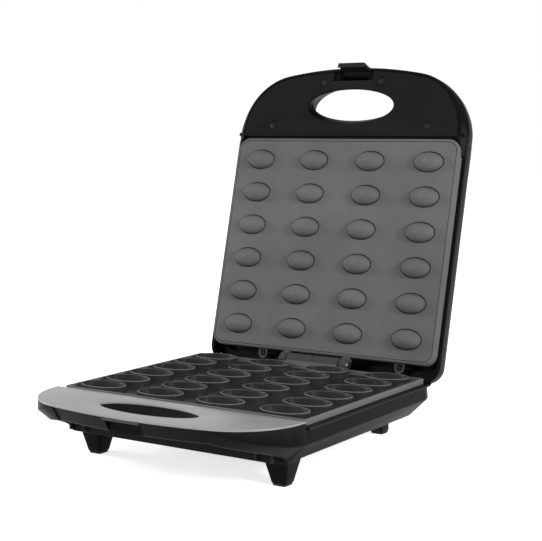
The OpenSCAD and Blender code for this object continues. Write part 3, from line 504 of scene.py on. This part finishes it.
# ---------------------------------------------------------------- base handle cover
# rounded edge of a cover: (share of the thickness, inset)
ROUND = [(0.0, 0.30), (0.10, 0.12), (0.25, 0.0), (0.62, 0.0), (0.80, 0.10), (0.93, 0.34), (1.0, 0.8)]
GRIP = ellipse(GRIP_A, GRIP_B, GRIP_N, 0, GRIP_Y)

base_cover = slab(bowed(HOUSE_X, FRONT_Y, FRONT_R, DRAFT, BACK_Y - 0.1), GRIP,
                  [(COVER_Z + (HANDLE_TOP - COVER_Z) * t, d) for t, d in ROUND])
write("base_cover", base_cover, "base", "handle_gloss", ["base_handle_cover"], 50)


# ---------------------------------------------------------------- lower plate with its cups
def around(a, b, d, z, centre, n):
    """Ring round a cup or a dome, grown by d."""
    return ring(ellipse(a + d, b + d, n, *centre), z)


def quarter(a, b, depth, z, centre, n, angles):
    """Rings of a quarter ellipsoid below z, from its edge to its pole."""
    rings = []
    for t in angles:
        c, s = math.cos(t), math.sin(t)
        rings.append(ring(ellipse(max(a * c, 0.02), max(b * c, 0.02), n, *centre), z - depth * s))
    return rings


def studs(sx, z0, z1):
    """The two studs on one side of the plate."""
    return [prism(ellipse(STUD_R, STUD_R, 32, sx * STUD_X, sy * PITCH_Y), z0, z1) for sy in (-1, 1)]


# outer wall from its fillet up, rim with a groove, and the first of the bowl: (grown by, height)
CUP_WALL = [(1.6, FLOOR_TOP), (0.9, FLOOR_TOP + 0.12), (0.45, FLOOR_TOP + 0.45), (0.2, FLOOR_TOP + 1.1),
            (0.05, FLOOR_TOP + 3.4), (0.0, FLOOR_TOP + 4.9), (-0.10, RIM_Z - 0.35), (-0.30, RIM_Z - 0.08),
            (-0.50, RIM_Z), (-0.70, RIM_Z - 0.10), (-0.84, RIM_Z - 0.50), (-1.02, RIM_Z - 0.60),
            (-1.16, RIM_Z - 0.50), (-1.30, RIM_Z - 0.10), (-1.50, RIM_Z), (-1.72, RIM_Z - 0.10),
            (-1.92, RIM_Z - 0.45)]
# outer side, lip and inner side of the plate's border: (height, inset)
BORDER = [(SKIRT_BOTTOM, 0.5), (SKIRT_BOTTOM + 0.15, 0.18), (SKIRT_BOTTOM + 0.5, 0), (LIP_Z - 0.9, 0),
          (LIP_Z - 0.4, 0.12), (LIP_Z - 0.12, 0.42), (LIP_Z, 0.95), (LIP_Z, 2.1), (LIP_Z - 0.15, 2.55),
          (LIP_Z - 0.6, 2.9), (FLOOR_TOP + 1.2, 3.2), (FLOOR_TOP + 0.4, 3.5), (FLOOR_TOP + 0.08, 4.1)]
LIP_D, LIP_SHARE = 0.95, 0.18                       # past the lip's top, front and rear draw in less than the sides
FIELD_DX, FIELD_DY, HOLE_DY = 4.4, 1.62, 1.66       # insets of the plate's floor, and of the holes cut at its edge


def cup(centre):
    """The cup's parts in painted shade, and its two rim lines as painted highlights."""
    rings = [around(CUP_A, CUP_B, d, z, centre, CUP_N) for d, z in CUP_WALL]
    rings += quarter(CUP_A - 2.0, CUP_B - 2.0, CUP_DEPTH, RIM_Z, centre, CUP_N,
                     [math.radians(90 * k / 12) for k in range(2, 13)])
    dark = [bridge(rings[:7], False, False), bridge(rings[9:13], False, False), bridge(rings[15:], False, True)]
    return dark, [bridge(rings[6:10], False, False), bridge(rings[12:16], False, False)]


def plate_loop(dx, dy):
    return rounded(PLATE_X - dx, -LOWER_Y + dy, LOWER_Y - dy, max(0.4, 3 - dx), 6)


def lower_plate():
    """The plate as two copies of one coating: the floor, cups and all else darker as painted shade, and the border
    and rim lines lighter as painted light.
    """
    sides = []
    for z, d in BORDER:
        dy = d if d < LIP_D + 0.01 else LIP_D + (d - LIP_D) * LIP_SHARE
        sides.append(ring(plate_loop(d, dy), z))
    field = plate_loop(FIELD_DX, FIELD_DY)
    bright = [bridge(sides + [ring(field, FLOOR_TOP)], False, False)]
    holes = [[(x, max(-LOWER_Y + HOLE_DY, min(LOWER_Y - HOLE_DY, y)))
              for x, y in ellipse(CUP_A + 1.6, CUP_B + 1.6, CUP_N, *c)] for c in CENTRES]
    parts = [flat_with_holes(field, holes, FLOOR_TOP)]
    for centre in CENTRES:
        dark, light = cup(centre)
        parts += dark
        bright += light
    under = ((0.5, SKIRT_BOTTOM), (2.0, SKIRT_BOTTOM), (2.4, SKIRT_BOTTOM + 0.4), (2.4, FLOOR_TOP - WEB))
    parts.append(bridge([ring(plate_loop(d, d), z) for d, z in under], False, True))
    bottom = ((-1.2, 41.9), (-0.3, 42.2), (0, 42.9), (0, FLOOR_TOP - WEB + 0.1))
    for centre in CENTRES:
        parts.append(bridge([around(CUP_A, CUP_B, d, z, centre, CUP_N) for d, z in bottom], True, False))
    for sx in (-1, 1):
        parts += studs(sx, 33.4, FLOOR_TOP - WEB + 0.2)
    hy, hz = HINGE_Y, HINGE_Z
    parts.append(tube_x(-27.3, -0.15, KNUCKLE_R, KNUCKLE_BORE, hy, hz))
    parts.append(tube_x(0.15, 27.3, KNUCKLE_R, KNUCKLE_BORE, hy, hz))
    arm = [(hy - 13.3, hz - 8), (hy - 13.3, hz - 2), (hy - 5, hz + 1), (hy - 1.5, hz - 2.2), (hy - 2.3, hz - 5.3)]
    parts.append(extrude_x(arm, -27.1, 27.1))
    return join(parts), join(bright)


shaded_parts, lit_parts = lower_plate()
# the border and rim lines take the lit copy of the coating, the floor and cups the darker one: painted light and
# painted shade
write("plate_rims", lit_parts, "base", "nonstick_plate", ["lower_plate"], 40)
write("cup_plate", shaded_parts, "base", "nonstick_shaded", ["lower_plate"], 40)


# ---------------------------------------------------------------- upper plate with its domes
# groove round a dome: (grown by, height)
DOME_FOOT = [(1.3, FACE_Z), (0.9, FACE_Z), (0.45, FACE_Z), (0.4, FACE_Z + 0.7), (-0.6, FACE_Z + 0.7),
             (-0.65, FACE_Z)]
# back edge, skirt, rounded edge and the groove inside it: (height, inset)
UPPER_EDGE = [(SKIRT_TOP - 6.0, 2.6), (SKIRT_TOP, 2.6), (SKIRT_TOP, 0.4), (SKIRT_TOP - 0.4, 0.0),
              (FACE_Z + 2.4, 0.0), (FACE_Z + 1.5, 0.2), (FACE_Z + 0.7, 0.7), (FACE_Z + 0.2, 1.4), (FACE_Z, 2.1),
              (FACE_Z, 2.5), (FACE_Z + 0.4, 2.55), (FACE_Z + 0.4, 3.1), (FACE_Z, 3.2), (FACE_Z, 3.7),
              (FACE_Z, 4.2)]


def upper_loop(d):
    return rounded(PLATE_X - d, -UPPER_Y + d, UPPER_Y - d, UPPER_R - d, 14)


def dome(centre):
    rings = [around(DOME_A, DOME_B, d, z, centre, DOME_N) for d, z in DOME_FOOT]
    rings += quarter(DOME_A - 0.65, DOME_B - 0.65, DOME_H, FACE_Z, centre, DOME_N,
                     [math.radians(90 * k / 14) for k in [*range(1, 14), 13.6]])
    return bridge(rings, False, True)


def upper_plate():
    parts = [bridge([ring(upper_loop(d), z) for z, d in UPPER_EDGE], True, False)]
    holes = [ellipse(DOME_A + 1.3, DOME_B + 1.3, DOME_N, *c) for c in CENTRES]
    parts.append(flat_with_holes(upper_loop(4.2), holes, FACE_Z))
    parts += [dome(c) for c in CENTRES]
    for sx in (-1, 1):
        parts += studs(sx, 60.7, 71.5)
        parts.append(box(sx * 67.5 - 8, sx * 67.5 + 8, -UPPER_Y - 4.9, -UPPER_Y + 2, 62.15, 64.1))
    return join(parts)


def lid_knuckles():
    e, low = UPPER_Y - HINGE_Y, FACE_Z - HINGE_Z
    arm = [(e - 0.7, low + 0.8), (e - 0.7, low + 8), (-1.5, 5.6), (-2.6, 1.0), (-4.2, -4.0)]
    arm = [(HINGE_Y + y, HINGE_Z + z) for y, z in arm]
    parts = []
    for x0, x1 in ((-35.3, -28.5), (28.5, 35.3)):
        parts.append(tube_x(x0, x1, KNUCKLE_R, KNUCKLE_BORE, HINGE_Y, HINGE_Z))
        parts.append(extrude_x(arm, x0 + 0.1, x1 - 0.1))
    return join(parts)


def groove_shade_rings():
    """Painted shade: near-black rings laid in the grooves round the domes and inside the plate's edge."""
    parts = []
    for centre in CENTRES:
        loops = [around(DOME_A, DOME_B, d, FACE_Z + z, centre, DOME_N)
                 for d, z in ((-0.55, 0.5), (-0.55, 0.22), (0.35, 0.22), (0.35, 0.5))]
        parts.append(bridge(loops + loops[:1], False, False))
    loops = [ring(upper_loop(d), FACE_Z + z) for d, z in ((3.05, 0.38), (3.05, 0.2), (2.6, 0.2), (2.6, 0.38))]
    parts.append(bridge(loops + loops[:1], False, False))
    return join(parts)


# the knuckles take the plate coating's darker copy: painted shade
write("lid_knuckles", lid_knuckles(), "lid", "nonstick_shaded", ["upper_plate"], 40)
write("dome_plate", upper_plate(), "lid", "nonstick_plate", ["upper_plate"], 40)
# near-black rings in the grooves round the domes and along the plate's edge: painted shade
write("plate_groove_shade", groove_shade_rings(), "lid", "cover_matte", [], 40)


# ---------------------------------------------------------------- lid housing
def lid_crown():
    """The lid behind its handle; past TURN its outline shrinks towards the middle instead of moving in."""
    turn = 7
    corners = ((1, HEEL_Y - LID_REAR_R, 0, LID_REAR_R), (-1, HEEL_Y - LID_REAR_R, 90, LID_REAR_R),
               (-1, LID_SPLIT + LID_SPLIT_R, 180, LID_SPLIT_R), (1, LID_SPLIT + LID_SPLIT_R, 270, LID_SPLIT_R))
    outline = [((sx * (LID_X - r), cy), a + 90 * k / 12, r) for sx, cy, a, r in corners for k in range(13)]
    h, mid = LID_TOP - LID_RIM, (LID_SPLIT + HEEL_Y) / 2
    side = smooth([(0, 0), (0.3 * h, 0.7), (0.55 * h, 2.6), (0.75 * h, 6.5), (0.9 * h, 14), (h, 32)])
    rings = []
    for up, inset in [(0.0, 0.5), (0.15, 0.15)] + [(max(u, 0.5), i) for u, i in side] + [(h, 33.5), (h, 36)]:
        k = 1 - max(0, inset - turn) / LID_X
        points = [at(s, max(0.0, min(inset, turn)), LID_RIM + min(up, h)) for s in outline]
        rings.append([(x * k, mid + (y - mid) * k, z) for x, y, z in points])
    return bridge(rings)


def lid_handle():
    """The handle: it rises towards the lid, and widens at its sides from the panel to the lid's width."""
    height, rise, run, blend = 26, 0.22, 64, 6
    widen = LID_X - LID_HANDLE_X - 0.2
    outline = stations(LID_HANDLE_X, LID_FRONT, LID_SPLIT + 20, LID_FRONT_R, 2, 30, 40, 4)
    side = smooth([(0, 0), (5, 0.1), (8, 0.3), (16, 2), (22, 7), (25, 16), (height, 30)])
    rings = []
    for up, inset in [(0.0, 0.9), (0.25, 0.45), (0.6, 0.15)] + [(max(u, 1.2), i) for u, i in side[1:]]:
        points = []
        for s in outline:
            on_front = s[1] > 180
            x, y, _ = at(s, max(0.0, inset) if on_front else 0, 0)
            if not on_front:
                x -= math.copysign(max(0.0, inset), s[0][0])
            z = min(up, height) * (1 + rise * (y - LID_FRONT) / run)
            points.append((x * (1 + (1 - s[3]) * min(1, z / blend) * widen / LID_HANDLE_X), y, PANEL_Z + z))
        rings.append(points)
    return bridge(rings)


# the lid's grip, narrow inside and flared outwards: (height, longer by, wider by, shifted by)
LID_GRIP = [(-3, 0, 0, 0), (3, 0, 0, 0), (7, -0.4, -0.4, -2.6), (11, -0.5, -0.5, -4.5), (14, 1.2, 1.0, -4.7),
            (17, 3.5, 3, -4.5), (25, 6.2, 5.4, -4.3), (LID_TOP - FACE_Z, 9, 8, -4)]


def lid_shell():
    lug = bridge([ring(rounded(3 - d, -1.5 + d, 2 - d, 1.0), PANEL_Z + z) for z, d in ((1, 0.8), (1.6, 0.1), (8, 0))])
    h, low = LID_TOP - LID_RIM, 53.7
    plate_seat = prism(rounded(LID_X - 3.4, LID_SPLIT + 3.4, HEEL_Y - 2.4, 10), low, LID_RIM + 0.45 * h)
    hollow = prism(rounded(LID_X - 11, LID_SPLIT + 11, HEEL_Y - 12, 7), low, LID_TOP - 7)
    cover_seat = prism(bowed(LID_HANDLE_X, LID_FRONT, LID_FRONT_R, 2.6, LID_SPLIT + 4.4), PANEL_Z - 1, PANEL_Z + 3)
    grip = bridge([ring(ellipse(GRIP_A + da, GRIP_B + db, 120, 0, GRIP_Y + dy), PANEL_Z + z)
                   for z, da, db, dy in LID_GRIP])
    latch_recess = box(-LATCH_W / 2 - 0.6, LATCH_W / 2 + 0.6, LID_FRONT - 3, LATCH_BACK, PANEL_Z - 1, PANEL_Z + 16.5)
    lens_holes = [prism(ellipse(LENS_R, LENS_R, 48, x, LENS_Y), LID_RIM, LID_TOP + 5) for x in (-LENS_X, LENS_X)]
    screw_holes = [prism(ellipse(1.6, 1.6, 24, x, y), PANEL_Z - 2, PANEL_Z + 14) for x, y in COVER_SCREWS]
    return carve(lid_crown(),
                 adding([lid_handle(), *[moved(lug, sx * 118.5, LID_SPLIT) for sx in (-1, 1)]])
                 + cutting([plate_seat, hollow, cover_seat, grip, latch_recess, *lens_holes, *screw_holes]))


write("lid_shell", lid_shell(), "lid", "housing_plastic", ["lid_housing"], 26)


# ---------------------------------------------------------------- lid handle cover
# counterbore of a cover screw: (radius, depth from the panel)
COUNTERBORE = ((3.9, -1), (3.9, 0), (3.3, 0.5), (3.3, 1.5), (1.8, 1.5), (1.8, 5))


def handle_cover():
    plate = slab(bowed(LID_HANDLE_X, LID_FRONT, LID_FRONT_R, 2.8, LID_SPLIT + 1.6), GRIP,
                 [(PANEL_Z + (1 - t) * COVER_T, d) for t, d in ROUND])
    cuts = [bridge([ring(ellipse(r, r, 40, x, y), PANEL_Z + z) for r, z in COUNTERBORE]) for x, y in COVER_SCREWS]
    cuts.append(box(-LATCH_W / 2 - 7.5, LATCH_W / 2 + 7.5, LID_FRONT - 3, LATCH_BACK, PANEL_Z - 1, PANEL_Z + 9))
    return carve(plate, cutting(cuts))


write("lid_cover", handle_cover(), "lid", "cover_matte", ["lid_handle_cover"], 40)


# ---------------------------------------------------------------- screws
def screw(x, y, z, head, thick, shank, length):
    """Pan head, face down at z, with a cross recess; the threaded shank points up."""
    pitch, turned = 1.2, 20
    prof = [(0, z), (head * 0.45, z + 0.02), (head * 0.8, z + 0.14), (head * 0.96, z + 0.4),
            (head, z + 0.7), (head, z + thick), (shank, z + thick)]
    for t in range(int(length / pitch)):
        zz = z + (thick + 0.3 + pitch * t)
        prof += [(shank, zz), (shank - 0.28, zz + 0.35), (shank - 0.28, zz + 0.55), (shank, zz + 0.9)]
    prof += [(shank * 0.5, z + (thick + length)), (0, z + (thick + length))]
    arms = []
    for a in (0, 90):
        c, s = math.cos(math.radians(a + turned)), math.sin(math.radians(a + turned))
        v, f = box(-head * 0.62, head * 0.62, -head * 0.13, head * 0.13, -0.4, thick * 0.62)
        arms.append(([(x + p[0] * c - p[1] * s, y + p[0] * s + p[1] * c, z + p[2]) for p in v], f))
    return carve(revolve(prof, x, y), cutting(arms))


cover_screws = [screw(x, y, PANEL_Z + 0.3, 2.9, 1.2, 1.5, 10) for x, y in COVER_SCREWS]
tab_screws = [screw(x, y, SKIRT_TOP - 1.6, 2.9, 1.6, 1.4, 9) for x, y in TAB_SCREWS]
base_screws = [screw(sx * STUD_X, sy * PITCH_Y, PAN_Z + 0.1, 3.2, 1.6, 1.4, 23.6) for sx in (-1, 1) for sy in (-1, 1)]
write("cover_screw_set", join(cover_screws), "lid", "dark_screws", ["handle_cover_screws"], 35)
write("tab_screw_set", join(tab_screws), "lid", "dark_screws", ["plate_tab_screws"], 35)
write("base_screw_set", join(base_screws), "base", "bright_steel", ["base_screws"], 35)


# ---------------------------------------------------------------- latch
def latch():
    """Lever with its hook and a ribbed thumb face; heights and depths count from the pivot."""
    gap, wall = 0.4, 2.2
    hook, face = 52 - LATCH_Z - gap, FRONT_Y + DRAFT - LATCH_Y - gap
    outline = [(0, 3.4), (-4.5, face + 1.6), (HANDLE_TOP + 1 - LATCH_Z, face), (hook, face), (hook, face + 2.1),
               (hook - 2.6, face + 0.4), (hook - 2.9, face - 1), (hook - 2, face - wall), (1.5, face - wall),
               (4.4, face - wall + 1), (5.4, face), (4.6, 1)]
    radii = [1.2, 2.0, 0.3, 0.3, 0.5, 0.7, 0.7, 1.0, 2.0, 1.6, 1.4, 1.4]
    side = [(y, z) for z, y in fillet(outline, radii, 4, closed=True)]
    lever = extrude_x(side, -LATCH_W / 2, LATCH_W / 2, 0.25)
    front = bridge([ring_y(rounded(LATCH_W / 2, hook - 2.9, 8, 4, 8), y) for y in (-30, 30)])
    ribs = [box(k * 3.1 - 0.45, k * 3.1 + 0.45, face - wall - 0.42, face - wall + 0.6, -9.5, -1.5)
            for k in range(-3, 4)]
    return carve(lever, [("INTERSECT", front)] + adding(ribs))


write("latch_lever_arm", latch(), "latch_lever", "latch_plastic", ["latch"], 35)


# ---------------------------------------------------------------- feet
# from the pad up: (share of the height, inset, corner radius)
BOOT = ((0, 0.8, 1.4), (0.02, 0.3, 1.8), (0.06, 0.0, 2.2), (0.35, 0, 2.6), (0.7, 0, 3.0), (1, 0, 3.2))


def boot(cx, cy, top_y, lean):
    """Tapered foot, top_y deep at its top; its lower end stands further back by the lean."""
    rings = []
    for t, d, r in BOOT:
        z = PAD_TOP + (FOOT_TOP - PAD_TOP) * t
        hx = 6.5 + 4.5 * t - d
        hy = 6.5 + (top_y / 2 - 6.5) * t - d
        rings.append([(cx + x, cy + lean * (1 - t) + y, z) for x, y in rounded(hx, -hy, hy, r, 8)])
    return bridge(rings)


def pad(cx, cy):
    return bridge([[(cx + x, cy + y, z) for x, y in rounded(5.9 - d, -5.9 + d, 5.9 - d, 2, 8)]
                   for z, d in ((0, 0.5), (0.15, 0.15), (0.5, 0), (PAD_TOP, 0))])


write("front_boots", join([boot(s * FOOT_X, FOOT_Y, 24, 0) for s in (-1, 1)]),
      "base", "housing_plastic", ["front_feet"], 40)
write("rear_boots", join([boot(s * REAR_FOOT_X, REAR_FOOT_Y, 22, LEAN) for s in (-1, 1)]),
      "base", "housing_plastic", ["rear_feet"], 40)
pads = [pad(s * cx, cy) for cx, cy in ((FOOT_X, FOOT_Y), (REAR_FOOT_X, REAR_Y - 9)) for s in (-1, 1)]
write("pads", join(pads), "base", "pad_rubber", ["foot_pads"], 40)


# ---------------------------------------------------------------- finishes of the CAD's own pieces
CAD_FINISHES = {
    "element_sheath": ["lower_heating_element", "upper_heating_element"],
    "sheet_steel": ["lower_element_clips", "upper_element_clips", "lower_reflector", "upper_reflector",
                    "hinge_pin_clip"],
    "bright_steel": ["thermostat", "hinge_pin", "reflector_screws", "latch_pin", "base_screws"],
    # latch_catch takes the screws' near-black finish, which partly paints the shade inside its notch
    "dark_screws": ["latch_catch", "handle_cover_screws", "plate_tab_screws"],
    "grey_steel": ["plate_tabs"],
    "ceramic": ["thermal_fuse", "terminal_block"],
    "grommet": ["cord_inlet_bushing"],
    "board": ["lamp_board"],
    "lens_red": ["power_lens"],
    "lens_green": ["ready_lens"],
    "housing_plastic": ["base_housing", "lid_housing", "front_feet", "rear_feet"],
    "handle_gloss": ["base_handle_cover"],
    "cover_matte": ["lid_handle_cover"],
    "nonstick_plate": ["lower_plate", "upper_plate"],
    "pad_rubber": ["foot_pads"],
    "latch_plastic": ["latch"],
}
for finish, names in CAD_FINISHES.items():
    for name in names:
        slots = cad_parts[name].data.materials
        for k in range(len(slots)):
            slots[k] = M[finish]
        if not slots:
            slots.append(M[finish])


# ---------------------------------------------------------------- floor, light and camera
scene = bpy.context.scene
scene.view_settings.view_transform = "Standard"
WHITE = (1, 1, 1, 1)


def largest(nodes, link, outputs, least=0.5):
    """Chain of maximums over shader outputs, never below the least."""
    seen = None
    for output in outputs:
        step = nodes.new("ShaderNodeMath")
        step.operation = "MAXIMUM"
        step.inputs[1].default_value = least
        link(output, step.inputs[0])
        if seen:
            link(seen.outputs["Value"], step.inputs[1])
        seen = step
    return seen.outputs["Value"]


# White to the camera, in gloss and through glass; other rays get the mean of that white and the soft light.
world = bpy.data.worlds.new("studio")
scene.world = world
world.use_nodes = True
wn, wlink = world.node_tree.nodes, world.node_tree.links.new
wn.clear()
sky = wn.new("ShaderNodeOutputWorld")
soft = node(wn, "ShaderNodeBackground", Color=WHITE, Strength=0.07)
white = node(wn, "ShaderNodeBackground", Color=WHITE, Strength=1.0)
path = wn.new("ShaderNodeLightPath")
rays = [path.outputs[ray] for ray in ("Is Camera Ray", "Is Glossy Ray", "Is Transmission Ray")]
mixer = wn.new("ShaderNodeMixShader")
wlink(largest(wn, wlink, rays), mixer.inputs["Fac"])
wlink(soft.outputs["Background"], mixer.inputs[1])
wlink(white.outputs["Background"], mixer.inputs[2])
wlink(mixer.outputs["Shader"], sky.inputs["Surface"])


def area(name, at_m, aim, size, power):
    """Rectangular lamp aimed at a point; metres and watts."""
    d = bpy.data.lights.new(name, "AREA")
    d.shape = "RECTANGLE"
    d.size, d.size_y = size
    d.energy = power
    o = bpy.data.objects.new(name, d)
    o.location = at_m
    o.rotation_euler = (Vector(aim) - Vector(at_m)).to_track_quat("-Z", "Y").to_euler()
    scene.collection.objects.link(o)
    return o


lights = [area("key", (-1.1, -1.6, 0.60), (0, 0, 0.20), (0.8, 0.4), 6.5),
          area("front", (0.7, -2.0, 0.22), (0, 0, 0.20), (0.8, 0.3), 3.5),
          area("side", (1.9, -0.5, 0.80), (0, 0.1, 0.2), (0.4, 0.4), 27.0),
          area("left", (-1.9, -0.4, 0.70), (0, 0.1, 0.2), (0.4, 0.4), 18.0),
          area("top", (-0.3, 0.2, 1.7), (0, 0, 0.1), (0.7, 0.7), 0.8)]

# Pale matt floor that glows to the camera and in gloss, and keeps the object's shadow.
FLOOR_HALF, FLOOR_GLOW = 6, 0.72
floor_me = bpy.data.meshes.new("floor")
floor_me.from_pydata(ring([(-FLOOR_HALF, -FLOOR_HALF), (FLOOR_HALF, -FLOOR_HALF), (FLOOR_HALF, FLOOR_HALF),
                           (-FLOOR_HALF, FLOOR_HALF)], 0), [], [(0, 1, 2, 3)])
floor = bpy.data.objects.new("floor", floor_me)
scene.collection.objects.link(floor)
paper = bpy.data.materials.new("floor_paper")
paper.use_nodes = True
fn, flink = paper.node_tree.nodes, paper.node_tree.links.new
sheet = fn["Principled BSDF"]
for key, value in {"Base Color": (0.92, 0.92, 0.92, 1), "Roughness": 0.9, "Specular IOR Level": 0.1,
                   "Emission Color": WHITE}.items():
    sheet.inputs[key].default_value = value
path = fn.new("ShaderNodeLightPath")
seen = fn.new("ShaderNodeMath")
seen.operation = "MAXIMUM"
flink(path.outputs["Is Camera Ray"], seen.inputs[0])
flink(path.outputs["Is Glossy Ray"], seen.inputs[1])
glow = fn.new("ShaderNodeMath")
glow.operation = "MULTIPLY"
glow.inputs[1].default_value = FLOOR_GLOW
flink(seen.outputs["Value"], glow.inputs[0])
flink(glow.outputs["Value"], sheet.inputs["Emission Strength"])
floor_me.materials.append(paper)

# Camera matched to the photo: azimuth and elevation in degrees, place in metres.
AZIMUTH, ELEVATION = 33.368, 6.188
cam_data = bpy.data.cameras.new("camera")
cam_data.lens = 86.24
cam_data.sensor_width = 36.0
cam = bpy.data.objects.new("camera", cam_data)
scene.collection.objects.link(cam)
az, el = math.radians(AZIMUTH), math.radians(ELEVATION)
back = Vector((math.sin(az) * math.cos(el), -math.cos(az) * math.cos(el), math.sin(el)))
cam.location = (0.61365, -0.89476 + GRID_Y * MM, 0.26801)
cam.rotation_euler = back.to_track_quat("Z", "Y").to_euler()
scene.camera = cam
